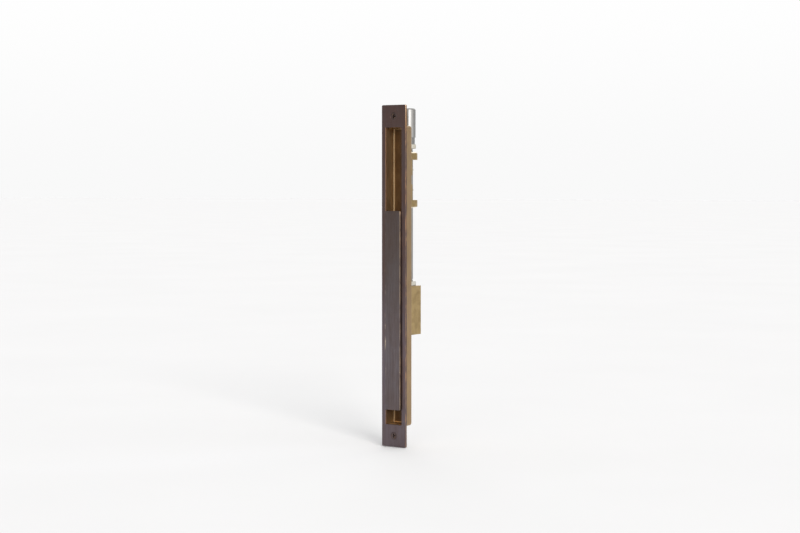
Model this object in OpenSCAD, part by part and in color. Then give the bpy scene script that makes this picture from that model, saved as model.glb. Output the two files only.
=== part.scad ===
// Slide-action flush bolt: a faceplate with a pocket behind its slot, and a long bar in the slot
// that carries a rod and a round bolt behind the pocket.
// X runs across the faceplate, +Y goes into the door and +Z is up, the way the bolt is thrown.
// The origin is the middle of the faceplate's back, which lies on the door. Millimetres.

/* [Faceplate] */
// Width of the faceplate
plate_w = 25.4; // [25:0.1:32]
// Length of the faceplate
plate_l = 304.8; // [304:0.2:340]
// Thickness of the faceplate
plate_t = 2; // [1.8:0.1:3]
// Radius of the faceplate's corners
plate_corner_r = 1.2; // [0.5:0.1:4]
// Width of the slot
slot_w = 16.6; // [16.6:0.1:17.4]
// Length of the slot
slot_l = 265; // [264:0.5:270]
// Depth of the recess in the back that locates the tray
rebate_depth = 0.4; // [0.2:0.1:0.6]
// Width of the flat rim around that recess
rim_w = 2.4; // [1.5:0.1:2.6]

/* [Mounting screws] */
// Distance from each end of the faceplate to its screw
screw_inset = 10; // [9:0.5:11]
// Radius of the countersunk head
screw_head_r = 3.4; // [3:0.1:4]
// Outer radius of the thread
screw_thread_r = 1.75; // [1.5:0.05:1.8]
// Length of a screw
screw_l = 15.9; // [14:0.1:16]

/* [Tray] */
// Depth of the pocket, from the front of the faceplate to its floor
pocket_depth = 12.3; // [12.3:0.1:14]
// Radius along the bottom edges of the pocket
pocket_fillet_r = 1.5; // [0.8:0.1:1.8]
// Thickness of the tray's walls
tray_wall = 1.5; // [1:0.1:1.5]
// Thickness of the tray's floor
tray_floor = 3; // [2.8:0.1:4]
// Thickness of the tab at each end
tab_t = 1.5; // [1:0.1:2]

/* [Slide] */
// Length of the bar
bar_l = 177.5; // [170:0.5:178]
// Gap between the bar and each side of the slot
bar_gap = 0.2; // [0.1:0.05:0.4]
// How far the bar stands in front of the faceplate
bar_proud = 2.2; // [0.5:0.1:4]
// Finger gap under the bar when the bolt is drawn
finger_gap = 13.4; // [10:0.1:14]
// How far the bolt is thrown
travel = 62; // [50:0.5:62]

/* [Bolt] */
// Radius of the rod
rod_r = 4; // [3.5:0.1:4]
// Distance from the back of the faceplate to the middle of the rod
rod_y = 22; // [22:0.5:26]
// Radius of the bolt head
head_r = 6.35; // [5.5:0.05:6.4]
// Length of the bolt head above its collar
head_l = 26; // [15:0.5:26]

/* [Hidden] */

$fn = 64;
CUT = 1;               // how far a cutter runs past the surface it cuts
CLEAR = 0.1;           // gap between parts that stop or slide on one another
BRONZE = "#4a3f3c";
BRASS = "#8a6a35";
STEEL = "#8d8f92";
ACETAL = "#e4e0d6";

// faceplate
plate_front = -plate_t;
slot_half_w = slot_w / 2;
slot_half_l = slot_l / 2;
rebate_half_w = plate_w / 2 - rim_w;
rebate_half_l = plate_l / 2 - rim_w;
screw_z = plate_l / 2 - screw_inset;
screw_hole_r = 2;
head_rim_t = 0.25;
countersink_t = screw_head_r - screw_hole_r;
tab_hole_r = 2.2;

// tray
floor_y = plate_front + pocket_depth;
tray_back = floor_y + tray_floor;
tray_half_w = slot_half_w + tray_wall;
tray_half_l = slot_half_l + tray_wall;
tray_edge_r = 2;
rebate_play = 0.3;
tab_half_w = rebate_half_w - rebate_play;
tab_end = rebate_half_l - rebate_play;

// studs and nuts that hold the tray to the faceplate
stud_r = 1.5;
stud_depth = 0.8;
stud_x = 6.2;
stud_z = screw_z + 4.6;
nut_t = 2.4;
nut_flats = 5.5;
stud_end = tab_t - rebate_depth + nut_t + 1;

// bar, at rest at the bottom of its travel
bar_half_w = slot_half_w - bar_gap;
bar_z0 = -slot_half_l + finger_gap;
bar_z1 = bar_z0 + bar_l;
bar_front = plate_front - bar_proud;
bar_back = floor_y - 2.3;
bar_corner_r = 1.2;
groove_half_w = 6;
groove_y = bar_back - 5;
groove_z0 = bar_z0 + 8.4;
groove_z1 = bar_z1 - 7.6;

// slot in the pocket's floor, with a buffer in each end
floor_slot_half_w = 3.6;
floor_slot_half_l = 56;
buffer_l = 3;
buffer_flange_l = 4;
buffer_flange_t = 1.2;
buffer_half_w = 6;

// drive block
block_z0 = -floor_slot_half_l + buffer_l + CLEAR;
block_z1 = floor_slot_half_l - buffer_l - CLEAR - travel;
neck_half_w = floor_slot_half_w - CLEAR;
block_half_w = 8;
glide_t = 1.2;
block_y0 = tray_back + CLEAR + glide_t;
block_y1 = rod_y + 8;
block_screw_z = [block_z0 + 5.5, block_z0 + 17];
block_screw_r = 2;
block_screw_head_r = 3.5;
block_screw_head_t = 4;
block_screw_seat = rod_y - 3;
block_screw_tip = bar_front + 3;
rod_seat_z = block_z1 - 20;
set_screw_z = block_z1 - 8;
set_screw_r = 2.5;

// glide buttons on the bar's back
button_x = 4.9;
button_r = 1.7;
button_stem_r = 1;
button_stem_l = 3;
button_y1 = floor_y - 0.05;
button_z = [(bar_z0 + groove_z0) / 2, (bar_z1 + groove_z1) / 2];

// leaf springs in the bar's groove
spring_t = 0.4;
spring_half_w = 5.5;
spring_tab_l = 8;
spring_chord = 42;
spring_top = floor_y - 0.05;
spring_rise = spring_top - groove_y - spring_t;
spring_r = (pow(spring_chord / 2, 2) + pow(spring_rise, 2)) / (2 * spring_rise);
spring_lower_z = groove_z0 + 2;
spring_upper_z = block_z1 + 2.5;
rivet_r = 1.2;
rivet_head_r = 2.2;
rivet_head_t = 1;
rivet_depth = 2.5;

// rod, its guides and the bolt head
thread_pitch = 1.25;
thread_depth = 0.6;
lock_nut_t = 4;
lock_nut_flats = 13;
guide_t = 6;
guide_half_w = 8;
guide_foot_t = 3;
guide_foot_l = 14;
guide_lower_z = 62;
guide_upper_z = 104;
guide_screw_x = 5.9;
guide_screw_inset = 5;
guide_screw_rows = [
    guide_lower_z + guide_t + guide_foot_l - guide_screw_inset,
    guide_upper_z - guide_foot_l + guide_screw_inset
];
guide_screw_r = 1.5;
guide_screw_head_r = 1.95;
guide_screw_head_t = 1.6;
guide_screw_bite = 2.2;
bush_r = 5.5;
bush_bore_r = rod_r + 0.05;
bush_flange_r = 7;
bush_flange_t = 1;
collar_r = 5.6;
collar_l = 6;
collar_flats = 10;
collar_z = 118;
head_z = collar_z + collar_l;
head_top = head_z + head_l;
head_chamfer = 1.2;
head_socket_l = 13;
rod_top = collar_z + head_socket_l;

// Draws a shape of (x, z) points as a solid from y0 to y1.
module along_y(y0, y1) {
    translate([0, y1, 0]) rotate([90, 0, 0]) linear_extrude(y1 - y0) children();
}

// Draws a shape of (y, z) points as a solid from -half_w to half_w.
module along_x(half_w) {
    translate([-half_w, 0, 0]) rotate([90, 0, 90]) linear_extrude(2 * half_w) children();
}

// A box given by its half width and its ranges of y and z.
module span(half_w, y0, y1, z0, z1) {
    translate([-half_w, y0, z0]) cube([2 * half_w, y1 - y0, z1 - z0]);
}

// A cylinder along y.
module pin_y(r, y0, y1, x = 0, z = 0) {
    translate([x, y0, z]) rotate([-90, 0, 0]) cylinder(r = r, h = y1 - y0);
}

// A cylinder along the rod's axis.
module pin_z(r, z0, z1) {
    translate([0, rod_y, z0]) cylinder(r = r, h = z1 - z0);
}

// A rectangle centred on the origin, with round corners.
module round_rect(w, l, r) {
    square([w - 2 * r, l], center = true);
    square([w, l - 2 * r], center = true);
    for (x = [-1, 1], z = [-1, 1]) {
        translate([x * (w / 2 - r), z * (l / 2 - r)]) circle(r = r);
    }
}

// A trough's section: half width by depth, open at y0, with round corners at y1.
module trough(half_w, y0, y1, r) {
    translate([-half_w, y0]) square([2 * half_w, y1 - y0 - r]);
    translate([-half_w + r, y0]) square([2 * (half_w - r), y1 - y0]);
    for (x = [-1, 1]) {
        translate([x * (half_w - r), y1 - r]) circle(r = r);
    }
}

// A box whose far edges, at y1, are round on all four sides.
module bath(half_w, half_l, y0, y1, r) {
    intersection() {
        translate([0, 0, -half_l]) linear_extrude(2 * half_l) trough(half_w, y0, y1, r);
        rotate([0, 90, 0]) {
            translate([0, 0, -half_w]) linear_extrude(2 * half_w) trough(half_l, y0, y1, r);
        }
    }
}

// A hexagonal nut's outline, measured across its flats.
module hexagon(flats) {
    circle(r = flats / 2 / cos(30), $fn = 6);
}

// A hexagonal prism t long, with the corners of both ends chamfered at 30 degrees.
module nut_blank(flats, t) {
    face_r = 0.48 * flats;
    outer_r = 0.6 * flats;
    chamfer = (outer_r - face_r) * tan(30);
    intersection() {
        linear_extrude(t) hexagon(flats);
        rotate_extrude() polygon([
            [0, 0], [face_r, 0], [outer_r, chamfer],
            [outer_r, t - chamfer], [face_r, t], [0, t]
        ]);
    }
}

// A solid of revolution along y, from (radius, y) points.
module turned_y(points) {
    rotate([-90, 0, 0]) rotate_extrude() polygon(points);
}

// The outline of a thread from h0 to h1: sharp crests at radius r, one pitch apart.
function thread_points(r, depth, pitch, h0, h1) = [
    for (i = [0:floor((h1 - h0) / pitch) - 1])
        for (p = [[r - depth, h0 + i * pitch], [r, h0 + (i + 0.5) * pitch]]) p
];

module faceplate() color(BRONZE) difference() {
    along_y(plate_front, 0) round_rect(plate_w, plate_l, plate_corner_r);
    span(slot_half_w, plate_front - CUT, CUT, -slot_half_l, slot_half_l);
    along_y(-rebate_depth, CUT) square([2 * rebate_half_w, 2 * rebate_half_l], center = true);
    for (side = [-1, 1]) {
        pin_y(screw_hole_r, plate_front - CUT, CUT, 0, side * screw_z);
        translate([0, 0, side * screw_z]) turned_y([
            [0, plate_front - CUT],
            [screw_head_r, plate_front - CUT],
            [screw_head_r, plate_front + head_rim_t],
            [screw_hole_r, plate_front + head_rim_t + countersink_t],
            [0, plate_front + head_rim_t + countersink_t]
        ]);
        for (x = [-stud_x, stud_x]) {
            pin_y(stud_r, -rebate_depth - stud_depth, CUT, x, side * stud_z);
        }
    }
}

module tray() color(BRASS) difference() {
    union() {
        bath(tray_half_w, tray_half_l, -rebate_depth, tray_back, tray_edge_r);
        along_y(-rebate_depth, tab_t - rebate_depth) {
            square([2 * tab_half_w, 2 * tab_end], center = true);
        }
    }
    bath(slot_half_w, slot_half_l, -rebate_depth - CUT, floor_y, pocket_fillet_r);
    span(floor_slot_half_w, 0, tray_back + CUT, -floor_slot_half_l, floor_slot_half_l);
    for (side = [-1, 1]) {
        pin_y(tab_hole_r, -CUT, tab_t + CUT, 0, side * screw_z);
        for (x = [-stud_x, stud_x]) {
            pin_y(stud_r, -CUT, tab_t + CUT, x, side * stud_z);
        }
    }
    for (z = guide_screw_rows, x = [-guide_screw_x, guide_screw_x]) {
        pin_y(guide_screw_r, tray_back - guide_screw_bite, tray_back + CUT, x, z);
    }
}

module plate_studs() color(STEEL) for (side = [-1, 1], x = [-stud_x, stud_x]) {
    pin_y(stud_r, -rebate_depth - stud_depth, stud_end, x, side * stud_z);
}

module tray_nuts() color(STEEL) for (side = [-1, 1], x = [-stud_x, stud_x]) {
    difference() {
        translate([x, tab_t - rebate_depth, side * stud_z]) {
            rotate([-90, 0, 0]) nut_blank(nut_flats, nut_t);
        }
        pin_y(stud_r, 0, stud_end + CUT, x, side * stud_z);
    }
}

// A wood screw with its head flush in the faceplate, on the y axis.
module wood_screw() {
    shoulder_r = screw_hole_r - CLEAR / 2;
    neck_y = plate_front + head_rim_t + screw_head_r - shoulder_r;
    shoulder_y1 = 2.5;
    thread_y0 = 6.5;
    thread_y1 = plate_front + screw_l - 2.4;
    recess_l = 3.8;
    recess_w = 0.95;
    recess_depth = 1.2;
    difference() {
        turned_y(concat(
            [[0, plate_front], [screw_head_r, plate_front], [screw_head_r, plate_front + head_rim_t]],
            [[shoulder_r, neck_y], [shoulder_r, shoulder_y1], [screw_thread_r, shoulder_y1]],
            [[screw_thread_r, thread_y0]],
            thread_points(screw_thread_r, 0.5, 1.3, thread_y0 + 0.2, thread_y1),
            [[screw_thread_r - 0.5, thread_y1], [0, plate_front + screw_l]]
        ));
        for (a = [0, 90]) {
            rotate([0, a, 0]) along_y(plate_front - CUT, plate_front + recess_depth) {
                square([recess_l, recess_w], center = true);
            }
        }
    }
}

module mounting_screws() color(BRONZE) for (side = [-1, 1]) {
    translate([0, 0, side * screw_z]) wood_screw();
}

// A stop in one end of the floor slot, with a flange behind the floor. It faces the block.
module stop_buffer(side) color(ACETAL) mirror([0, 0, side < 0 ? 1 : 0]) {
    end = floor_slot_half_l;
    span(floor_slot_half_w, floor_y, tray_back, end - buffer_l, end);
    span(buffer_half_w, tray_back, tray_back + buffer_flange_t, end - buffer_l,
        end + buffer_flange_l - buffer_l);
}

module stop_buffer_lower() stop_buffer(-1);

module stop_buffer_upper() stop_buffer(1);

// A guide bracket: an upright around the bush, and a foot that runs up (1) or down (-1) from it.
module rod_guide(z, up) color(BRASS) {
    foot_z0 = up > 0 ? z + guide_t : z - guide_foot_l;
    difference() {
        union() {
            span(guide_half_w, tray_back, rod_y, z, z + guide_t);
            pin_z(guide_half_w, z, z + guide_t);
            span(guide_half_w, tray_back, tray_back + guide_foot_t, foot_z0, foot_z0 + guide_foot_l);
        }
        pin_z(bush_r, z - CUT, z + guide_t + CUT);
        for (row = guide_screw_rows, x = [-guide_screw_x, guide_screw_x]) {
            pin_y(guide_screw_r, tray_back - CUT, tray_back + guide_foot_t + CUT, x, row);
        }
    }
}

module rod_guide_lower() rod_guide(guide_lower_z, 1);

module rod_guide_upper() rod_guide(guide_upper_z, -1);

// A flanged bush; its flange is on the face at z0 (-1) or at z0 + guide_t (1).
module guide_bush(z0, flange) color(ACETAL) difference() {
    union() {
        pin_z(bush_r, z0, z0 + guide_t);
        if (flange > 0) {
            pin_z(bush_flange_r, z0 + guide_t, z0 + guide_t + bush_flange_t);
        } else {
            pin_z(bush_flange_r, z0 - bush_flange_t, z0);
        }
    }
    pin_z(bush_bore_r, z0 - 2 * bush_flange_t, z0 + guide_t + 2 * bush_flange_t);
}

module guide_bush_lower() guide_bush(guide_lower_z, -1);

module guide_bush_upper() guide_bush(guide_upper_z, 1);

module guide_screws() color(STEEL) {
    seat = tray_back + guide_foot_t;
    for (z = guide_screw_rows, x = [-guide_screw_x, guide_screw_x]) difference() {
        union() {
            pin_y(guide_screw_r, tray_back - guide_screw_bite, seat, x, z);
            pin_y(guide_screw_head_r, seat, seat + guide_screw_head_t, x, z);
        }
        translate([x, 0, z]) along_y(seat + 0.6, seat + guide_screw_head_t + CUT) hexagon(1.9);
    }
}

module slide_bar() color(BRONZE) difference() {
    along_y(bar_front, bar_back) translate([0, (bar_z0 + bar_z1) / 2]) {
        round_rect(2 * bar_half_w, bar_l, bar_corner_r);
    }
    span(groove_half_w, groove_y, bar_back + CUT, groove_z0, groove_z1);
    for (z = block_screw_z) {
        pin_y(block_screw_r, block_screw_tip, bar_back, 0, z);
    }
    for (z = button_z, x = [-button_x, button_x]) {
        pin_y(button_stem_r, bar_back - button_stem_l, bar_back + CUT, x, z);
    }
    for (z = [spring_lower_z, spring_upper_z]) {
        pin_y(rivet_r, groove_y - rivet_depth, groove_y + CUT, 0, z + spring_tab_l / 2);
    }
}

module glide_buttons() color(ACETAL) for (z = button_z, x = [-button_x, button_x]) {
    pin_y(button_stem_r, bar_back - button_stem_l, bar_back, x, z);
    pin_y(button_r, bar_back, button_y1, x, z);
}

// A leaf spring that starts at z: a flat tab with a rivet hole, then a bow that meets the floor.
module bow_spring(z) color(STEEL) {
    bow_z0 = z + spring_tab_l;
    difference() {
        along_x(spring_half_w) {
            translate([groove_y, z]) square([spring_t, spring_tab_l + 1]);
            intersection() {
                translate([spring_top - spring_r, bow_z0 + spring_chord / 2]) difference() {
                    circle(r = spring_r, $fn = 128);
                    circle(r = spring_r - spring_t, $fn = 128);
                }
                translate([groove_y, bow_z0 - spring_t]) {
                    square([spring_top - groove_y + CUT, spring_chord + 2 * spring_t]);
                }
            }
        }
        pin_y(rivet_r, groove_y - CUT, groove_y + CUT, 0, z + spring_tab_l / 2);
    }
}

module bow_spring_lower() bow_spring(spring_lower_z);

module bow_spring_upper() bow_spring(spring_upper_z);

module spring_rivets() color(STEEL) for (z = [spring_lower_z, spring_upper_z]) {
    seat = groove_y + spring_t;
    pin_y(rivet_r, groove_y - rivet_depth, seat, 0, z + spring_tab_l / 2);
    pin_y(rivet_head_r, seat, seat + rivet_head_t, 0, z + spring_tab_l / 2);
}

module drive_block() color(BRASS) difference() {
    union() {
        span(neck_half_w, groove_y, block_y0, block_z0, block_z1);
        span(block_half_w, block_y0, block_y1, block_z0, block_z1);
    }
    pin_z(rod_r, rod_seat_z, block_z1 + CUT);
    pin_y(set_screw_r, rod_y, block_y1 + CUT, 0, set_screw_z);
    for (z = block_screw_z) {
        pin_y(block_screw_r, groove_y - CUT, block_y1, 0, z);
        pin_y(block_screw_head_r, block_screw_seat, block_y1 + CUT, 0, z);
    }
}

module block_glides() color(ACETAL) for (side = [0, 1]) mirror([side, 0, 0]) {
    translate([neck_half_w, block_y0 - glide_t, block_z0]) {
        cube([block_half_w - neck_half_w, glide_t, block_z1 - block_z0]);
    }
}

module drive_block_screws() color(STEEL) for (z = block_screw_z) difference() {
    union() {
        pin_y(block_screw_r, block_screw_tip, block_screw_seat, 0, z);
        pin_y(block_screw_head_r, block_screw_seat, block_screw_seat + block_screw_head_t, 0, z);
    }
    translate([0, 0, z]) {
        along_y(block_screw_seat + 2, block_screw_seat + block_screw_head_t + CUT) hexagon(3);
    }
}

module drive_rod() color(STEEL) {
    lower_end = block_z1 + lock_nut_t + 2;
    upper_start = collar_z - lock_nut_t - 2;
    root_r = rod_r - thread_depth;
    translate([0, rod_y, 0]) rotate_extrude() polygon(concat(
        [[0, rod_seat_z], [root_r, rod_seat_z]],
        thread_points(rod_r, thread_depth, thread_pitch, rod_seat_z, lower_end),
        [[root_r, lower_end], [rod_r, lower_end], [rod_r, upper_start]],
        thread_points(rod_r, thread_depth, thread_pitch, upper_start + 0.1, rod_top - 0.2),
        [[root_r, rod_top], [0, rod_top]]
    ));
}

// A hexagonal nut on the rod, from z0 up.
module rod_nut(z0) color(STEEL) difference() {
    translate([0, rod_y, z0]) nut_blank(lock_nut_flats, lock_nut_t);
    pin_z(rod_r, z0 - CUT, z0 + lock_nut_t + CUT);
}

module rod_lock_nut() rod_nut(block_z1);

module head_lock_nut() rod_nut(collar_z - lock_nut_t);

module rod_set_screw() color(STEEL) difference() {
    pin_y(set_screw_r, rod_y + rod_r, block_y1, 0, set_screw_z);
    translate([0, 0, set_screw_z]) along_y(block_y1 - 2, block_y1 + CUT) hexagon(2.5);
}

module bolt_head() color(STEEL) difference() {
    union() {
        intersection() {
            pin_z(collar_r, collar_z, head_z);
            span(collar_flats / 2, 0, 2 * rod_y, collar_z, head_z);
        }
        pin_z(head_r, head_z, head_top - head_chamfer);
        translate([0, rod_y, head_top - head_chamfer]) {
            cylinder(r1 = head_r, r2 = head_r - head_chamfer, h = head_chamfer);
        }
    }
    pin_z(rod_r, collar_z - CUT, rod_top);
}

faceplate();
tray();
plate_studs();
tray_nuts();
mounting_screws();
stop_buffer_lower();
stop_buffer_upper();
rod_guide_lower();
rod_guide_upper();
guide_bush_lower();
guide_bush_upper();
guide_screws();
slide_bar();
glide_buttons();
bow_spring_lower();
bow_spring_upper();
spring_rivets();
drive_block();
block_glides();
drive_block_screws();
drive_rod();
rod_lock_nut();
rod_set_screw();
head_lock_nut();
bolt_head();
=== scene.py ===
"""Looks for the slide-action flush bolt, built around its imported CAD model.

The pieces that show from the front are made here, in millimetres, as rings of points joined into
closed shells: the faceplate, the tray behind it, the bar and the mounting screws. The mechanism
keeps its CAD nodes, with broken edges and materials of its own.
"""

import math

import bmesh
import bpy
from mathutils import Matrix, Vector


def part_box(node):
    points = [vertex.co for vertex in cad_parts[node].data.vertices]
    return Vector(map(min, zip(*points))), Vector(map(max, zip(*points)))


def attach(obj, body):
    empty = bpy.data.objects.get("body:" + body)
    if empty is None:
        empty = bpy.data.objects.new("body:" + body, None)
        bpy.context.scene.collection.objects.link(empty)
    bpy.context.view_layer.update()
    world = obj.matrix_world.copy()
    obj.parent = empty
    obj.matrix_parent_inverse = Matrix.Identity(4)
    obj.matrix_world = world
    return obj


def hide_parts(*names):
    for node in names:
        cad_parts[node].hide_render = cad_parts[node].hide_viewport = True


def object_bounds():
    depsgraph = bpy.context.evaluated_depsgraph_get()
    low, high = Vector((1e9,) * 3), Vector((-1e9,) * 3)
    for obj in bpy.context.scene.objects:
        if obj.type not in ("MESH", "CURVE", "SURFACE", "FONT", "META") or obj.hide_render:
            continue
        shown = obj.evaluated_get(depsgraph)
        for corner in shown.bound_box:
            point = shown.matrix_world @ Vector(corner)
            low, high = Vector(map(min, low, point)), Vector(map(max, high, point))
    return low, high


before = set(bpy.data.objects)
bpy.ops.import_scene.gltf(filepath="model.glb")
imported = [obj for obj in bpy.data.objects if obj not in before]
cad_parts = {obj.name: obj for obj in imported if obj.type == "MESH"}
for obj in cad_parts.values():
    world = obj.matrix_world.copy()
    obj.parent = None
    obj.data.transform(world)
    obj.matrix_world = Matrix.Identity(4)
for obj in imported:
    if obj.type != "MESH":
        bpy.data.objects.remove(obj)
cad_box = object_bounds()

MM = 0.001


# ---------------------------------------------------------------- sizes, in millimetres

def box_mm(node):
    """A CAD node's lowest and highest corners, in millimetres."""
    low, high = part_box(node)
    return low / MM, high / MM


plate_low, plate_high = box_mm("faceplate")
tray_low, tray_high = box_mm("tray")
bar_low, bar_high = box_mm("slide_bar")
screws_low, screws_high = box_mm("mounting_screws")
studs_low, studs_high = box_mm("plate_studs")
_, lower_guide_high = box_mm("rod_guide_lower")
upper_guide_low, _ = box_mm("rod_guide_upper")
button_low, button_high = box_mm("glide_buttons")

# Sizes that no box shows, as in the CAD model, and places worked out from them.
PLATE_CORNER = 1.2
SLOT_HALF_W = 8.3
SLOT_HALF_L = 132.5
REBATE_RIM = 2.4
REBATE_Y = tray_low.y
SCREW_HEAD_R = 3.4
SCREW_Z = screws_high.z - SCREW_HEAD_R
SCREW_RIM = 0.25
SCREW_HOLE_R = 2.0
SHOULDER_R = 1.95
SHOULDER_END = 2.5
SHANK_END = 6.5
SCREW_POINT_L = 2.4
THREAD_R = 1.75
THREAD_DEPTH = 0.5
THREAD_PITCH = 1.3
TAB_HOLE_R = 2.2
TAB_T = 1.5
STUD_R = 1.5
STUD_X = studs_high.x - STUD_R
STUD_Z = studs_high.z - STUD_R
FLOOR_T = 3.0
FLOOR_Y = tray_high.y - FLOOR_T
POCKET_FILLET = 1.5
TRAY_WALL = 1.5
TRAY_HALF_W = SLOT_HALF_W + TRAY_WALL
TRAY_HALF_L = SLOT_HALF_L + TRAY_WALL
TRAY_EDGE = 2.0
FLOOR_SLOT_HALF_W = 3.6
FLOOR_SLOT_HALF_L = 56.0
GUIDE_SCREW_X = 5.9
GUIDE_SCREW_R = 1.5
GUIDE_SCREW_BITE = 2.2
GUIDE_SCREW_INSET = 5.0
BAR_CORNER = 1.2
GROOVE_HALF_W = 6.0
GROOVE_DEPTH = 5.0
GROOVE_BELOW = 8.4
GROOVE_ABOVE = 7.6
BUTTON_R = 1.7
BUTTON_STEM_R = 1.0

# Finer shapes that the CAD model leaves out: edge rounds, corner radii and the bar's draft.
PLATE_ROUND = 0.2
PLATE_BACK_CHAMFER = 0.08
SLOT_ROUND = 0.22
SLOT_CORNER = 0.35
REBATE_CORNER = 0.3
FLANGE_CORNER = 0.6
TRAY_CORNER = 2.4
FLOOR_SLOT_CORNER = 0.4
BAR_ROUND = 0.15
GROOVE_CORNER = 0.5
BACK_DRAFT = 0.15
DRAFT_START = 2.3


# ---------------------------------------------------------------- outlines

HOLE_STEPS = 24
SMALLEST_CORNER = 0.02


def rounded_rect(half_w, half_l, r, mid_z=0.0, steps=6, side_steps=1):
    """(x, z) points round a rectangle with round corners, anticlockwise seen from the front.

    steps is for each corner, and side_steps is the number of lengths that a long side is split into.
    """
    r = max(r, SMALLEST_CORNER)
    points = []
    for corner, (sx, sz) in enumerate([(1, -1), (1, 1), (-1, 1), (-1, -1)]):
        for k in range(steps + 1):
            a = math.radians(-90 + 90 * corner + 90 * k / steps)
            x = sx * (half_w - r) + r * math.cos(a)
            z = sz * (half_l - r) + r * math.sin(a)
            points.append((x, mid_z + z))
        if sx == -sz:
            for k in range(1, side_steps):
                z = sz * (half_l - r) * (1 - 2 * k / side_steps)
                points.append((sx * half_w, mid_z + z))
    return points


def circle(r, x=0.0, z=0.0, steps=48):
    """(x, z) points round a circle."""
    angles = [2 * math.pi * k / steps for k in range(steps)]
    return [(x + r * math.cos(a), z + r * math.sin(a)) for a in angles]


def cross(half_l, half_w, z, turn):
    """(x, z) points round a cross recess, turned by an angle in radians."""
    arm = [(half_l, -half_w), (half_l, half_w), (half_w, half_w)]
    points = []
    for quarter in range(4):
        a = turn + quarter * math.pi / 2
        for x, y in arm:
            points.append((x * math.cos(a) - y * math.sin(a), z + x * math.sin(a) + y * math.cos(a)))
    return points


def arc(r, steps):
    """(inset, rise) pairs of a quarter round of radius r, from a side towards a face."""
    angles = [math.pi / 2 * k / steps for k in range(steps + 1)]
    return [(r * (1 - math.cos(a)), r * math.sin(a)) for a in angles]


def near(value, place, reach):
    """1 at a place, falling smoothly to 0 at a reach from it."""
    t = max(0.0, 1.0 - abs(value - place) / reach)
    return t * t * (3 - 2 * t)


# ---------------------------------------------------------------- shells

# Edges sharper than this angle stay sharp. At the full weight, the largest faces shade as flat.
SHARP_ANGLE = math.radians(40)
FULL_WEIGHT = 100


class Shell:
    """A closed mesh made of rings of points, each ring in a plane of constant y."""

    def __init__(self):
        self.bm = bmesh.new()
        # The wear attribute holds rubbing together with painted highlights, painted glints and
        # painted shade.
        self.wear_and_light = self.bm.verts.layers.float.new("wear_and_light")

    def ring(self, outline, y, wear_and_light=0.0):
        """A ring of vertices; its wear, a number or a function of x and z, is 0 where untouched, and
        also carries painted highlights and painted shade.
        """
        verts = [self.bm.verts.new((x, y, z)) for x, z in outline]
        for v in verts:
            v[self.wear_and_light] = wear_and_light(v.co.x, v.co.z) if callable(wear_and_light) else wear_and_light
        return verts

    def wall(self, *rings):
        """Joins each ring to the next with quads."""
        for a, b in zip(rings, rings[1:]):
            for i in range(len(a)):
                j = (i + 1) % len(a)
                self.bm.faces.new((a[i], a[j], b[j], b[i]))

    def face(self, *rings):
        """Fills the flat area between an outer ring and the rings inside it."""
        edges = []
        for ring in rings:
            for i in range(len(ring)):
                pair = (ring[i - 1], ring[i])
                edges.append(self.bm.edges.get(pair) or self.bm.edges.new(pair))
        bmesh.ops.triangle_fill(self.bm, use_beauty=True, use_dissolve=False, edges=edges)

    def blind_hole(self, outline, y0, y1, wear_and_light=0.0):
        """A hole from y0 to a flat bottom at y1; returns the ring at its mouth."""
        mouth = self.ring(outline, y0, wear_and_light)
        bottom = self.ring(outline, y1)
        self.wall(mouth, bottom)
        self.face(bottom)
        return mouth

    def piece(self, name, material, slot, body, *nodes):
        """Turns the shell into an object that rides on a body and stands for CAD nodes."""
        bmesh.ops.recalc_face_normals(self.bm, faces=self.bm.faces)
        bmesh.ops.scale(self.bm, vec=(MM, MM, MM), verts=self.bm.verts)
        mesh = bpy.data.meshes.new(name)
        self.bm.to_mesh(mesh)
        self.bm.free()
        mesh.polygons.foreach_set("use_smooth", [True] * len(mesh.polygons))
        mesh.set_sharp_from_angle(angle=SHARP_ANGLE)
        mesh.materials.append(material)
        piece = bpy.data.objects.new(name, mesh)
        bpy.context.scene.collection.objects.link(piece)
        normals = piece.modifiers.new("flat_faces", "WEIGHTED_NORMAL")
        normals.keep_sharp = True
        normals.weight = FULL_WEIGHT
        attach(piece, body)
        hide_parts(*nodes)


# ---------------------------------------------------------------- materials

# Noise scales are in cells per metre along x, y and z. Bump distances are in metres.
# Wear is 0 on untouched metal and 1 where it is well rubbed; edges facing the light are set higher,
# as painted highlight. More than 1 is a painted glint, and less than 0 is painted shade, as down in
# a recess. The rubbed range is of wear and noise together, and the other ranges are of wear.
RUBBED_AND_LIT_RANGE = (0.78, 1.22)
GLINT_RANGE = (1.0, 1.6)
RECESS_SHADE_RANGE = (-1.0, 0.0)


def smooth_ramp(tree, value, low, high, out_low, out_high):
    """Smoothly maps low..high to out_low..out_high, and clamps."""
    node = tree.nodes.new("ShaderNodeMapRange")
    node.interpolation_type = "SMOOTHSTEP"
    node.inputs["From Min"].default_value = low
    node.inputs["From Max"].default_value = high
    node.inputs["To Min"].default_value = out_low
    node.inputs["To Max"].default_value = out_high
    tree.links.new(value, node.inputs["Value"])
    return node.outputs["Result"]


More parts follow.
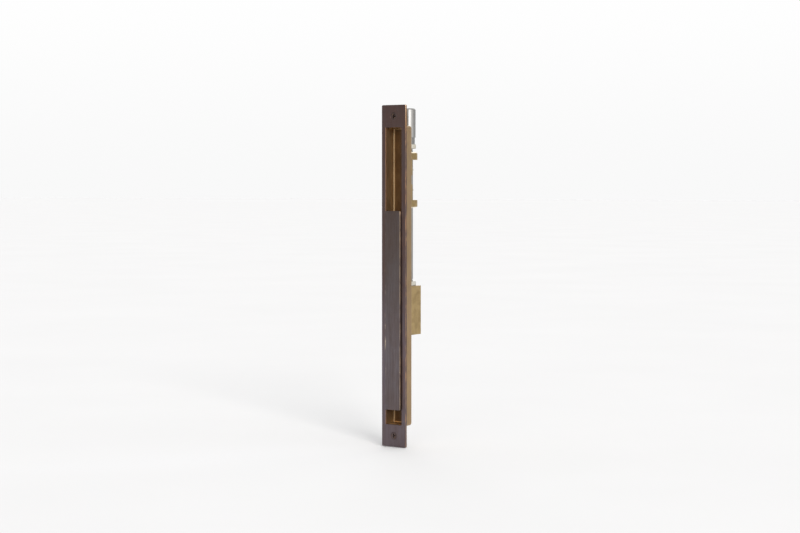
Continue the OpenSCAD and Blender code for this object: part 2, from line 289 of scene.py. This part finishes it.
class Nodes:
    """A short way to write a material's nodes."""

    def __init__(self, name):
        self.material = bpy.data.materials.new(name)
        self.material.use_nodes = True
        self.tree = self.material.node_tree
        self.shader = self.tree.nodes["Principled BSDF"]
        self.place = self.tree.nodes.new("ShaderNodeTexCoord").outputs["Object"]

    def link(self, source, socket):
        self.tree.links.new(source, socket)

    def math(self, operation, a, b, c=0.0):
        """A sum, product or other result; each of a, b and c is a number or a socket."""
        node = self.tree.nodes.new("ShaderNodeMath")
        node.operation = operation
        for socket, value in zip(node.inputs, (a, b, c)):
            if isinstance(value, (int, float)):
                socket.default_value = value
            else:
                self.link(value, socket)
        return node.outputs[0]

    def stretched(self, scale):
        """Object coordinates multiplied by a scale for each axis, per metre."""
        node = self.tree.nodes.new("ShaderNodeMapping")
        node.inputs["Scale"].default_value = scale
        self.link(self.place, node.inputs["Vector"])
        return node.outputs[0]

    def height(self):
        """The object coordinate along z, in metres."""
        node = self.tree.nodes.new("ShaderNodeSeparateXYZ")
        self.link(self.place, node.inputs[0])
        return node.outputs["Z"]

    def noise(self, scale, detail, roughness=0.55):
        """Noise from about 0.2 to 0.8; scale is in cells per metre along x, y and z."""
        node = self.tree.nodes.new("ShaderNodeTexNoise")
        node.inputs["Scale"].default_value = 1.0
        node.inputs["Detail"].default_value = detail
        node.inputs["Roughness"].default_value = roughness
        self.link(self.stretched(scale), node.inputs["Vector"])
        return node.outputs["Fac"]

    def ramp(self, value, low, high, out_low=0.0, out_high=1.0):
        """Smoothly maps low..high to out_low..out_high, and clamps."""
        return smooth_ramp(self.tree, value, low, high, out_low, out_high)

    def mix(self, factor, a, b):
        """A colour between a and b; each is a tuple or a socket."""
        node = self.tree.nodes.new("ShaderNodeMix")
        node.data_type = "RGBA"
        colour_a, colour_b = node.inputs[6], node.inputs[7]
        self.link(factor, node.inputs[0])
        for socket, value in ((colour_a, a), (colour_b, b)):
            if isinstance(value, tuple):
                socket.default_value = (*value, 1.0)
            else:
                self.link(value, socket)
        return node.outputs[2]

    def attribute(self, name):
        """The value of a mesh attribute, such as the wear that a shell's rings carry."""
        node = self.tree.nodes.new("ShaderNodeAttribute")
        node.attribute_name = name
        return node.outputs["Fac"]

    def bump(self, height, strength, distance):
        """Gives the shader's normal a relief; distance is its depth in metres."""
        node = self.tree.nodes.new("ShaderNodeBump")
        node.inputs["Strength"].default_value = strength
        node.inputs["Distance"].default_value = distance
        self.link(height, node.inputs["Height"])
        self.link(node.outputs["Normal"], self.shader.inputs["Normal"])

    def finish(self, colour, roughness, metallic=1.0):
        """Links the shader's colour and roughness; returns the finished material."""
        self.link(colour, self.shader.inputs["Base Color"])
        self.link(roughness, self.shader.inputs["Roughness"])
        self.shader.inputs["Metallic"].default_value = metallic
        return self.material


def shaded(colour, brightness):
    """A darker copy of a colour."""
    return tuple(brightness * part for part in colour)


def patinated_bronze(name, warm, cool, worn, glint, reflection_drift=0.0):
    """Dark finish on brass: cloudy warm and cool tones, fine brushing, rubbed through in patches.

    drift is how fast the tone turns warmer going up, per metre: a painted reflection, which makes
    the lower part cooler and a little brighter as if it caught a cool light from below.
    A place turns to the worn colour, where it is rubbed through or painted as a highlight, where its
    wear plus some noise is high enough; above 1 its wear paints a glint, and below 0 it paints
    shade.
    """
    n = Nodes(name)
    clouds = n.noise((70, 70, 22), detail=5)
    mottle = n.noise((420, 420, 160), detail=5, roughness=0.65)
    brushing = n.noise((1100, 1100, 40), detail=3)
    specks = n.noise((1700, 1700, 1700), detail=2)
    patches = n.noise((420, 420, 110), detail=5, roughness=0.6)
    cloudy = n.math("MULTIPLY_ADD", mottle, 0.35, n.math("MULTIPLY", clouds, 0.65))
    tone = n.ramp(n.math("MULTIPLY_ADD", n.height(), -reflection_drift, cloudy), 0.36, 0.64)
    colour = n.mix(tone, warm, cool)
    colour = n.mix(n.ramp(brushing, 0.35, 0.7, 0.0, 0.3), colour, shaded(warm, 0.6))
    colour = n.mix(n.ramp(specks, 0.66, 0.84, 0.0, 0.3), colour, worn)
    wear_and_light = n.attribute("wear_and_light")
    # Rubbed through to the worn colour; where edges are set high, this is painted highlight as well
    # as rubbing.
    rubbed_and_lit = n.ramp(n.math("MULTIPLY_ADD", wear_and_light, 0.7, patches), *RUBBED_AND_LIT_RANGE)
    colour = n.mix(rubbed_and_lit, colour, worn)
    # Painted glint: a brighter colour where the value passes 1.
    colour = n.mix(n.ramp(wear_and_light, *GLINT_RANGE), colour, glint)
    # Painted shade: darker where the value is below 0, down in a screw's recess.
    colour = n.mix(n.ramp(wear_and_light, *RECESS_SHADE_RANGE, 0.8, 0.0), colour, shaded(warm, 0.25))
    roughness = n.math("MULTIPLY_ADD", brushing, 0.16, 0.36)
    roughness = n.math("MULTIPLY_ADD", rubbed_and_lit, -0.1, roughness)
    height = n.math("MULTIPLY_ADD", brushing, 0.6, n.math("MULTIPLY", specks, 0.4))
    n.bump(height, strength=0.22, distance=0.00012)
    return n.finish(colour, roughness)


def aged_brass(name, dark, light, rough):
    """Brass under a dark patina that thins with wear; in the pocket the same value paints the walls
    bright as light and leaves the floor dark as shade.
    """
    n = Nodes(name)
    drawn = n.noise((1700, 1700, 14), detail=4, roughness=0.6)
    blotch = n.noise((130, 130, 60), detail=6, roughness=0.65)
    fine = n.noise((2200, 2200, 900), detail=2)
    wear_and_light = n.attribute("wear_and_light")
    mottle = n.math("MULTIPLY_ADD", drawn, 0.14, n.math("MULTIPLY", blotch, 0.38))
    clean_and_lit = n.ramp(n.math("MULTIPLY_ADD", wear_and_light, 0.9, mottle), 0.1, 1.3)
    colour = n.mix(clean_and_lit, dark, light)
    roughness = n.math("MULTIPLY_ADD", blotch, 0.2, rough - 0.1)
    height = n.math("ADD", drawn, n.math("MULTIPLY", fine, 0.4))
    n.bump(height, strength=0.22, distance=0.0001)
    return n.finish(colour, roughness)


def machined_brass(name, dark, light):
    """Plain brass with a fine grain and a little tarnish."""
    n = Nodes(name)
    grain = n.noise((1500, 1500, 1500), detail=3)
    tarnish = n.noise((110, 110, 110), detail=6, roughness=0.65)
    tool = n.noise((150, 150, 2400), detail=2)
    colour = n.mix(n.ramp(tarnish, 0.38, 0.64), light, dark)
    roughness = n.math("MULTIPLY_ADD", tarnish, 0.25, 0.2)
    height = n.math("MULTIPLY_ADD", grain, 0.5, n.math("MULTIPLY", tool, 0.5))
    n.bump(height, strength=0.25, distance=0.00008)
    return n.finish(colour, roughness)


def turned_steel(name, base, tarnish, roughness):
    """Machined or plated steel: fine rings round the axis, faint tarnish."""
    n = Nodes(name)
    rings = n.noise((60, 60, 2600), detail=3)
    cloud = n.noise((260, 260, 60), detail=5, roughness=0.6)
    colour = n.mix(n.ramp(cloud, 0.4, 0.7, 0.0, 0.7), base, tarnish)
    rough = n.math("MULTIPLY_ADD", cloud, 0.2, roughness - 0.08)
    n.bump(rings, strength=0.25, distance=0.00008)
    return n.finish(colour, rough)


def moulded_nylon(name, base, shade):
    """Off-white moulded plastic with a faint grain."""
    n = Nodes(name)
    cloud = n.noise((90, 90, 90), detail=4)
    grain = n.noise((3500, 3500, 3500), detail=2)
    n.bump(grain, strength=0.3, distance=0.00006)
    n.shader.inputs["Subsurface Weight"].default_value = 0.05
    n.shader.inputs["Subsurface Radius"].default_value = (0.001, 0.0008, 0.0006)
    colour = n.mix(n.ramp(cloud, 0.35, 0.65), base, shade)
    rough = n.math("MULTIPLY_ADD", cloud, 0.2, 0.4)
    return n.finish(colour, rough, metallic=0.0)


WORN_COPPER = (0.42, 0.24, 0.125)
# The two bright colours below are painted glints, for corners that catch the light.
GLINT_COPPER = (0.76, 0.53, 0.36)
WORN_BRASS = (0.55, 0.42, 0.27)
GLINT_BRASS = (0.93, 0.71, 0.46)
# The plate's tone drifts warmer going up: a painted reflection, cooler and a little brighter low
# down.
plate_bronze = patinated_bronze(
    "plate_bronze", warm=(0.137, 0.089, 0.079), cool=(0.14, 0.109, 0.11),
    worn=WORN_COPPER, glint=GLINT_COPPER, reflection_drift=0.7,
)
bar_bronze = patinated_bronze(
    "bar_bronze", warm=(0.127, 0.095, 0.085), cool=(0.142, 0.118, 0.114),
    worn=WORN_BRASS, glint=GLINT_BRASS,
)
screw_bronze = patinated_bronze(
    "screw_bronze", warm=(0.1, 0.068, 0.062), cool=(0.12, 0.09, 0.085),
    worn=WORN_COPPER, glint=GLINT_COPPER,
)
tray_brass = aged_brass(
    "tray_brass", dark=(0.05, 0.031, 0.018), light=(0.6, 0.42, 0.235), rough=0.45
)
cast_brass = machined_brass("cast_brass", dark=(0.35, 0.245, 0.11), light=(0.46, 0.33, 0.155))
bright_steel = turned_steel(
    "bright_steel", base=(0.37, 0.365, 0.355), tarnish=(0.28, 0.265, 0.24), roughness=0.34
)
plated_steel = turned_steel(
    "plated_steel", base=(0.48, 0.465, 0.41), tarnish=(0.36, 0.32, 0.24), roughness=0.34
)
black_steel = turned_steel(
    "black_steel", base=(0.05, 0.05, 0.052), tarnish=(0.08, 0.075, 0.07), roughness=0.42
)
spring_steel = turned_steel(
    "spring_steel", base=(0.24, 0.25, 0.29), tarnish=(0.16, 0.15, 0.2), roughness=0.28
)
nylon = moulded_nylon("nylon", base=(0.78, 0.75, 0.67), shade=(0.66, 0.61, 0.5))


# ---------------------------------------------------------------- pieces seen from the front

def edge_round(
    shell, outline, r, face_y, toward, wear_and_light, side_wear=0.0, side_fade=0.0, face_fade=0.0, steps=4
):
    """Rings that carry a side round onto a face at face_y; outline(inset) gives each ring.

    toward is the sign of y from the side to the face. wear is that of the round itself. It changes
    evenly to side_wear over a length of side_fade down the side, and to none over face_fade across
    the face. Returns the rings from the side to the face.
    """
    rings = []
    if side_fade:
        rings.append(shell.ring(outline(0), face_y - toward * (r + side_fade), side_wear))
    for inset, rise in arc(r, steps):
        rings.append(shell.ring(outline(inset), face_y - toward * (r - rise), wear_and_light))
    if face_fade:
        rings.append(shell.ring(outline(r + face_fade), face_y, 0.0))
    return rings


# A reach is how far along z a rub or a painted glint goes. SLOT_END is what is left unrubbed at the
# slot's ends.
PLATE_SIDE_STEPS = 24
PLATE_EDGE_WEAR = 0.2
# The plate's right edge is rubbed and set higher still as a painted highlight, with a painted glint
# near its top.
PLATE_RIGHT_WEAR_AND_HIGHLIGHT = 0.65
PLATE_TOP_GLINT = 0.85
PLATE_TOP_GLINT_REACH = 35.0
SLOT_EDGE_WEAR = 0.15
# The slot's left wall is rubbed, and set above 1 as a painted highlight and glint where it faces the
# light.
SLOT_LEFT_WEAR_AND_GLINT = 1.4
SLOT_UPPER_LEFT_WEAR_AND_GLINT = 1.6
SLOT_END = 0.3
COUNTERSINK_WEAR = 0.1


def make_faceplate():
    """The plate, with its slot, the rebate behind it, and holes for two screws and four studs."""
    s = Shell()
    half_w, half_l = plate_high.x, plate_high.z
    front, back = plate_low.y, plate_high.y

    def outer(inset):
        corner = PLATE_CORNER - inset
        return rounded_rect(half_w - inset, half_l - inset, corner, side_steps=PLATE_SIDE_STEPS)

    def slot(inset):
        return rounded_rect(SLOT_HALF_W - inset, SLOT_HALF_L - inset, SLOT_CORNER - inset, steps=3)

    def outer_wear(x, z):
        """The right edge is rubbed and painted brighter as a highlight, with a painted glint near
        its top; the other edges are hardly rubbed.
        """
        if x < half_w - PLATE_CORNER / 2:
            return PLATE_EDGE_WEAR
        return PLATE_RIGHT_WEAR_AND_HIGHLIGHT + PLATE_TOP_GLINT * near(z, half_l, PLATE_TOP_GLINT_REACH)

    def side_wear(x, z):
        return 0.8 * outer_wear(x, z)

    def slot_wall_wear(x, z):
        """The left wall is rubbed, and painted brighter past that as a highlight and glint where it
        faces the light; the others are hardly touched.
        """
        if x > 0 or abs(z) > SLOT_HALF_L - SLOT_END:
            return SLOT_EDGE_WEAR
        return SLOT_UPPER_LEFT_WEAR_AND_GLINT if z > 0 else SLOT_LEFT_WEAR_AND_GLINT

    def slot_edge_wear(x, z):
        return 0.6 * slot_wall_wear(x, z)

    def slot_outwards(inset):
        return slot(-inset)

    back_edge = s.ring(outer(PLATE_BACK_CHAMFER), back, side_wear)
    side = s.ring(outer(0), back - PLATE_BACK_CHAMFER, side_wear)
    outer_front = edge_round(
        s, outer, PLATE_ROUND, front, -1, outer_wear, side_wear, side_fade=0.2, face_fade=0.15
    )
    s.wall(back_edge, side, *outer_front)

    slot_back = s.ring(slot(0), REBATE_Y, slot_wall_wear)
    slot_front = edge_round(
        s, slot_outwards, SLOT_ROUND, front, -1, slot_edge_wear,
        slot_wall_wear, side_fade=0.1, face_fade=0.12,
    )
    s.wall(slot_back, *slot_front)

    rebate = rounded_rect(half_w - REBATE_RIM, half_l - REBATE_RIM, REBATE_CORNER, steps=3)
    rebate_rim, rebate_floor = s.ring(rebate, back), s.ring(rebate, REBATE_Y)
    s.wall(rebate_rim, rebate_floor)

    front_holes, back_holes = [], []
    for side_z in (-SCREW_Z, SCREW_Z):
        profile = [
            (SCREW_HEAD_R + 0.05, front, COUNTERSINK_WEAR),
            (SCREW_HEAD_R, front + 0.05, COUNTERSINK_WEAR),
            (SCREW_HEAD_R, front + SCREW_RIM, 0.0),
            (SCREW_HOLE_R, front + SCREW_RIM + SCREW_HEAD_R - SCREW_HOLE_R, 0.0),
            (SCREW_HOLE_R, REBATE_Y, 0.0),
        ]
        rings = [s.ring(circle(r, z=side_z), y, wear_and_light) for r, y, wear_and_light in profile]
        s.wall(*rings)
        front_holes.append(rings[0])
        back_holes.append(rings[-1])
        for x in (-STUD_X, STUD_X):
            outline = circle(STUD_R, x, math.copysign(STUD_Z, side_z), HOLE_STEPS)
            back_holes.append(s.blind_hole(outline, REBATE_Y, studs_low.y))
    s.face(outer_front[-1], slot_front[-1], *front_holes)
    s.face(back_edge, rebate_rim)
    s.face(rebate_floor, slot_back, *back_holes)
    s.piece("faceplate_visual", plate_bronze, "dark_bronze", "case", "faceplate")


OUTSIDE_WEAR = 0.56
# The pocket walls are set high, painted bright as lit from the right over worn brass; the fillet is
# set between, and the pocket floor, set to none, stays dark patina as painted shade.
WALL_WEAR_AND_LIGHT = 0.93
FILLET_WEAR_AND_LIGHT = 0.38


def make_tray():
    """The pocket behind the slot, with a slot in its floor and a flange that goes in the rebate."""
    s = Shell()
    flange_y0, flange_y1 = tray_low.y, tray_low.y + TAB_T
    flange = rounded_rect(tray_high.x, tray_high.z, FLANGE_CORNER)

    def pocket(inset):
        return rounded_rect(SLOT_HALF_W - inset, SLOT_HALF_L - inset, SLOT_CORNER - inset, steps=3)

    def outside(inset):
        return rounded_rect(TRAY_HALF_W - inset, TRAY_HALF_L - inset, TRAY_CORNER - inset)

    floor_slot = rounded_rect(FLOOR_SLOT_HALF_W, FLOOR_SLOT_HALF_L, FLOOR_SLOT_CORNER, steps=3)
    # Walls with painted light, then the fillet, then the floor left dark as painted shade.
    inner = [s.ring(pocket(0), flange_y0, WALL_WEAR_AND_LIGHT)]
    inner += edge_round(
        s, pocket, POCKET_FILLET, FLOOR_Y, 1, FILLET_WEAR_AND_LIGHT,
        WALL_WEAR_AND_LIGHT, side_fade=0.25, face_fade=0.25, steps=8,
    )
    slot_rings = [s.ring(floor_slot, FLOOR_Y), s.ring(floor_slot, tray_high.y, OUTSIDE_WEAR)]
    outer = [s.ring(outside(0), flange_y1, OUTSIDE_WEAR)]
    outer += edge_round(s, outside, TRAY_EDGE, tray_high.y, 1, OUTSIDE_WEAR, steps=6)
    s.wall(*inner)
    s.wall(*slot_rings)
    s.wall(*outer)
    flange_rings = [s.ring(flange, y, OUTSIDE_WEAR) for y in (flange_y0, flange_y1)]
    s.wall(*flange_rings)

    fronts, backs = [], []
    for side in (-1, 1):
        spots = [(TAB_HOLE_R, 0.0, side * SCREW_Z)]
        spots += [(STUD_R, x, side * STUD_Z) for x in (-STUD_X, STUD_X)]
        for r, x, z in spots:
            outline = circle(r, x, z, HOLE_STEPS)
            rings = [s.ring(outline, y, OUTSIDE_WEAR) for y in (flange_y0, flange_y1)]
            s.wall(*rings)
            fronts.append(rings[0])
            backs.append(rings[1])
    guide_holes = []
    bottom_y = tray_high.y - GUIDE_SCREW_BITE
    for z in (lower_guide_high.z - GUIDE_SCREW_INSET, upper_guide_low.z + GUIDE_SCREW_INSET):
        for x in (-GUIDE_SCREW_X, GUIDE_SCREW_X):
            outline = circle(GUIDE_SCREW_R, x, z, HOLE_STEPS)
            guide_holes.append(s.blind_hole(outline, tray_high.y, bottom_y, OUTSIDE_WEAR))
    s.face(inner[-1], slot_rings[0])
    s.face(outer[-1], slot_rings[1], *guide_holes)
    s.face(flange_rings[0], inner[0], *fronts)
    s.face(flange_rings[1], outer[0], *backs)
    s.piece("tray_visual", tray_brass, "aged_brass", "case", "tray")


# Where the bar's left edge is rubbed through: the place along z and how far the rub reaches.
LEFT_RUBS = ((6.7, 5.0), (-36.0, 5.0), (-60.0, 12.0))
BAR_SIDE_STEPS = 44
BAR_LEFT_WEAR = 0.35
# The right edge is rubbed and set higher as a painted highlight; a painted glint lights its top
# corner.
BAR_RIGHT_WEAR_AND_HIGHLIGHT = 0.78
BAR_FACE_WEAR = 0.38
TOP_GLINT_REACH = 6.0
LOWER_END_REACH = 90.0


def left_rub(z):
    """1 in the middle of a rub on the bar's left edge, 0 away from the rubs."""
    return max(near(z, place, reach) for place, reach in LEFT_RUBS)


def make_bar():
    """The bar, with a groove in its back and holes for the stems of the glide buttons."""
    s = Shell()
    mid_z = (bar_low.z + bar_high.z) / 2
    half_w, half_l = bar_high.x, (bar_high.z - bar_low.z) / 2
    front, back = bar_low.y, bar_high.y

    def outer(inset):
        corner = BAR_CORNER - inset
        return rounded_rect(half_w - inset, half_l - inset, corner, mid_z, side_steps=BAR_SIDE_STEPS)

    def bar_wear(x, z):
        """The right edge is rubbed all along and painted brighter as a highlight, with a painted
        glint at its top corner; the left edge is rubbed only in places.
        """
        if x > half_w - BAR_CORNER / 2:
            top_glint = 0.97 * near(z, bar_high.z, TOP_GLINT_REACH)
            return BAR_RIGHT_WEAR_AND_HIGHLIGHT + top_glint + 0.1 * near(z, bar_low.z, LOWER_END_REACH)
        return BAR_LEFT_WEAR + 0.65 * left_rub(z)

    def face_wear(x, z):
        """The left side of the face is a little rubbed all along, and more in places."""
        if x > 0:
            return 0.0
        return BAR_FACE_WEAR + 0.26 * left_rub(z)

    def side_wear(x, z):
        return 0.55 * bar_wear(x, z)

    back_edge = s.ring(outer(BACK_DRAFT), back)
    side = s.ring(outer(0), front + DRAFT_START)
    front_rings = edge_round(s, outer, BAR_ROUND, front, -1, bar_wear, side_wear, side_fade=1.0)
    for inset, wear_and_light in ((0.25, face_wear), (1.0, face_wear), (2.0, 0.0)):
        front_rings.append(s.ring(outer(inset), front, wear_and_light))
    s.wall(back_edge, side, *front_rings)
    s.face(front_rings[-1])

    groove_low, groove_high = bar_low.z + GROOVE_BELOW, bar_high.z - GROOVE_ABOVE
    groove_half_l, groove_mid_z = (groove_high - groove_low) / 2, (groove_high + groove_low) / 2
    groove = rounded_rect(GROOVE_HALF_W, groove_half_l, GROOVE_CORNER, groove_mid_z, steps=3)
    mouth, roof = s.ring(groove, back), s.ring(groove, back - GROOVE_DEPTH)
    s.wall(mouth, roof)
    stems = []
    for z in (button_low.z + BUTTON_R, button_high.z - BUTTON_R):
        for x in (button_low.x + BUTTON_R, button_high.x - BUTTON_R):
            outline = circle(BUTTON_STEM_R, x, z, HOLE_STEPS)
            stems.append(s.blind_hole(outline, back, button_low.y))
    s.face(back_edge, mouth, *stems)
    s.face(roof)
    s.piece("slide_bar_visual", bar_bronze, "dark_bronze_bar", "slide", "slide_bar")


CREST_WEAR = 0.3
RECESS_DEPTH = 1.5


def make_mounting_screw(sign, turn):
    """A countersunk cross-recess wood screw; the thread is drawn as rings, as in the CAD model."""
    s = Shell()
    z = sign * SCREW_Z
    front, tip = screws_low.y, screws_high.y
    face_y = front + 0.01
    root_r = THREAD_R - THREAD_DEPTH
    profile = [
        (SCREW_HEAD_R - 0.1, face_y, COUNTERSINK_WEAR),
        (SCREW_HEAD_R - 0.03, face_y + 0.05, COUNTERSINK_WEAR),
        (SCREW_HEAD_R - 0.02, front + SCREW_RIM, 0.0),
        (SHOULDER_R, front + SCREW_RIM + SCREW_HEAD_R - SHOULDER_R, 0.0),
        (SHOULDER_R, SHOULDER_END, 0.0),
        (THREAD_R, SHOULDER_END + 0.1, 0.0),
        (THREAD_R, SHANK_END, 0.0),
    ]
    start, end = SHANK_END + 0.2, tip - SCREW_POINT_L
    for i in range(int((end - start) / THREAD_PITCH)):
        profile.append((root_r, start + i * THREAD_PITCH, 0.0))
        profile.append((THREAD_R, start + (i + 0.5) * THREAD_PITCH, CREST_WEAR))
    profile += [(root_r, end, 0.0), (0.1, tip - 0.05, 0.0)]
    rings = [s.ring(circle(r, z=z), y, wear_and_light) for r, y, wear_and_light in profile]
    s.wall(*rings)
    s.face(rings[-1])
    # Half length, half width, place along y and wear: rubbed and painted a little bright as a
    # highlight at the mouth, then painted dark as shade down in the recess.
    recess_profile = [
        (2.0, 0.58, face_y, 0.45),
        (1.9, 0.5, front + 0.12, -0.4),
        (0.85, 0.36, front + RECESS_DEPTH, -1.0),
    ]
    recess = [
        s.ring(cross(half_l, half_w, z, turn), y, wear_and_light) for half_l, half_w, y, wear_and_light in recess_profile
    ]
    s.wall(*recess)
    s.face(recess[-1])
    s.face(rings[0], recess[0])
    name = "mounting_screw_upper" if sign > 0 else "mounting_screw_lower"
    s.piece(name, screw_bronze, "bronze_screw", "case", "mounting_screws")


make_faceplate()
make_tray()
make_bar()
make_mounting_screw(1, turn=math.radians(-8))
make_mounting_screw(-1, turn=math.radians(6))


# ---------------------------------------------------------------- CAD nodes that stay

NODE_MATERIALS = {
    plated_steel: ["plate_studs", "tray_nuts", "guide_screws", "spring_rivets",
                   "drive_block_screws", "rod_lock_nut", "head_lock_nut"],
    bright_steel: ["drive_rod", "bolt_head"],
    black_steel: ["rod_set_screw"],
    spring_steel: ["bow_spring_lower", "bow_spring_upper"],
    cast_brass: ["rod_guide_lower", "rod_guide_upper", "drive_block"],
    nylon: ["stop_buffer_lower", "stop_buffer_upper", "guide_bush_lower", "guide_bush_upper",
            "glide_buttons", "block_glides"],
}

BROKEN_EDGE = 0.15 * MM
WELD_DISTANCE = 0.001 * MM
BEVEL_ANGLE = math.radians(35)


def break_edges(node):
    """Rounds a CAD node's sharp edges a little with modifiers."""
    weld = node.modifiers.new("weld", "WELD")
    weld.merge_threshold = WELD_DISTANCE
    bevel = node.modifiers.new("edges", "BEVEL")
    bevel.width = BROKEN_EDGE
    bevel.segments = 2
    bevel.limit_method = "ANGLE"
    bevel.angle_limit = BEVEL_ANGLE
    normals = node.modifiers.new("flat_faces", "WEIGHTED_NORMAL")
    normals.keep_sharp = True


for material, names in NODE_MATERIALS.items():
    for name in names:
        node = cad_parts[name]
        node.data.materials.clear()
        node.data.materials.append(material)
        break_edges(node)


# ---------------------------------------------------------------- camera, floor and light

# A direction's brightness rises as the cosine of its angle to a bright side rises through
# GLOW_RANGE. The backdrop's rises from HORIZON to 1 as its z rises through HORIZON_RANGE.
BRIGHT_SIDE = (0.86, -0.45, 0.24)
ROOM_DIM = 0.3
ROOM_BRIGHT = 1.5
BACK_SIDE = (-0.5, 0.72, 0.48)
BACK_BRIGHT = 0.75
GLOW_RANGE = (0.2, 0.95)
HORIZON = 0.945
HORIZON_RANGE = (-0.01, 0.13)

AZIMUTH = math.radians(33.7)
ELEVATION = math.radians(2.5)
DISTANCE = 1.6
FOCAL_PIXELS = 1796
IMAGE_WIDTH = 800
SENSOR_MM = 36.0
AIM_RIGHT = 4.5 * MM
AIM_UP = 8.9 * MM

FLOOR_SIZE = 60
FLOOR_GAP = 0.5 * MM


def add_camera():
    """The camera stands right of the plate's normal, and looks a little beside the plate."""
    right = Vector((math.cos(AZIMUTH), math.sin(AZIMUTH), 0))
    back = Vector((
        math.sin(AZIMUTH) * math.cos(ELEVATION),
        -math.cos(AZIMUTH) * math.cos(ELEVATION),
        math.sin(ELEVATION),
    ))
    target = right * AIM_RIGHT + Vector((0, 0, AIM_UP))
    data = bpy.data.cameras.new("camera")
    data.sensor_width = SENSOR_MM
    data.lens = FOCAL_PIXELS / IMAGE_WIDTH * SENSOR_MM
    camera = bpy.data.objects.new("camera", data)
    camera.location = target + back * DISTANCE
    camera.rotation_euler = (-back).to_track_quat("-Z", "Y").to_euler()
    bpy.context.scene.collection.objects.link(camera)
    bpy.context.scene.camera = camera


def add_light(name, kind, place, aim, power, colour):
    """A light of a kind, such as "SUN", that shines from place towards aim."""
    data = bpy.data.lights.new(name, kind)
    data.energy = power
    data.color = colour
    light = bpy.data.objects.new(name, data)
    light.location = place
    light.rotation_euler = (Vector(place) - Vector(aim)).to_track_quat("Z", "Y").to_euler()
    bpy.context.scene.collection.objects.link(light)
    return light


def add_spot(name, place, aim, angle, radius, power, colour):
    """A light with a soft cone; angle is the cone's width in degrees."""
    light = add_light(name, "SPOT", place, aim, power, colour)
    light.visible_camera = False
    light.data.spot_size = math.radians(angle)
    light.data.spot_blend = 1.0
    light.data.shadow_soft_size = radius


def add_sun(name, place, angle, power, colour):
    """An even light from the direction of place; angle is how wide it is seen, in degrees."""
    light = add_light(name, "SUN", place, (0, 0, 0), power, colour)
    light.data.angle = math.radians(angle)


def add_floor():
    """A plain pale floor just under the part."""
    low, _ = cad_box
    bpy.ops.mesh.primitive_plane_add(size=FLOOR_SIZE, location=(0, 0, low.z - FLOOR_GAP))
    floor = bpy.context.object
    floor.name = "floor"
    n = Nodes("pale_floor")
    cloud = n.noise((3, 3, 3), detail=3)
    colour = n.mix(cloud, (0.775, 0.777, 0.783), (0.815, 0.817, 0.823))
    n.link(colour, n.shader.inputs["Base Color"])
    n.shader.inputs["Roughness"].default_value = 0.9
    n.shader.inputs["Specular IOR Level"].default_value = 0.0
    floor.data.materials.append(n.material)


def set_world():
    """A pale room with two brighter sides; the camera sees it as an even backdrop."""
    world = bpy.data.worlds.new("studio")
    bpy.context.scene.world = world
    world.use_nodes = True
    tree = world.node_tree
    background = tree.nodes["Background"]
    direction = tree.nodes.new("ShaderNodeTexCoord").outputs["Generated"]

    def glow(side, dim, bright):
        """Brightness that rises smoothly towards a side of the room."""
        facing = tree.nodes.new("ShaderNodeVectorMath")
        facing.operation = "DOT_PRODUCT"
        facing.inputs[1].default_value = side
        tree.links.new(direction, facing.inputs[0])
        return smooth_ramp(tree, facing.outputs["Value"], *GLOW_RANGE, dim, bright)

    room = tree.nodes.new("ShaderNodeMath")
    tree.links.new(glow(BRIGHT_SIDE, ROOM_DIM, ROOM_BRIGHT), room.inputs[0])
    tree.links.new(glow(BACK_SIDE, 0.0, BACK_BRIGHT), room.inputs[1])
    height = tree.nodes.new("ShaderNodeSeparateXYZ")
    tree.links.new(direction, height.inputs[0])

    backdrop = smooth_ramp(tree, height.outputs["Z"], *HORIZON_RANGE, HORIZON, 1.0)
    strength = tree.nodes.new("ShaderNodeMix")
    path = tree.nodes.new("ShaderNodeLightPath")
    tree.links.new(path.outputs["Is Camera Ray"], strength.inputs[0])
    tree.links.new(room.outputs[0], strength.inputs[2])
    tree.links.new(backdrop, strength.inputs[3])
    tree.links.new(strength.outputs[0], background.inputs["Strength"])
    background.inputs["Color"].default_value = (1.0, 1.0, 1.0, 1.0)


add_camera()
add_floor()
set_world()
add_spot(
    "fill", place=(-0.22, -0.34, -0.115), aim=(0, 0, -0.105), angle=38,
    radius=0.03, power=0.31, colour=(0.62, 0.79, 1.12),
)
add_sun("back", place=(-0.9, 1.1, 0.9), angle=25, power=0.4, colour=(1.0, 1.0, 1.0))
add_sun("key", place=(1.2, -0.95, 0.56), angle=22, power=2.4, colour=(1.0, 0.97, 0.93))
bpy.context.scene.view_settings.view_transform = "Standard"
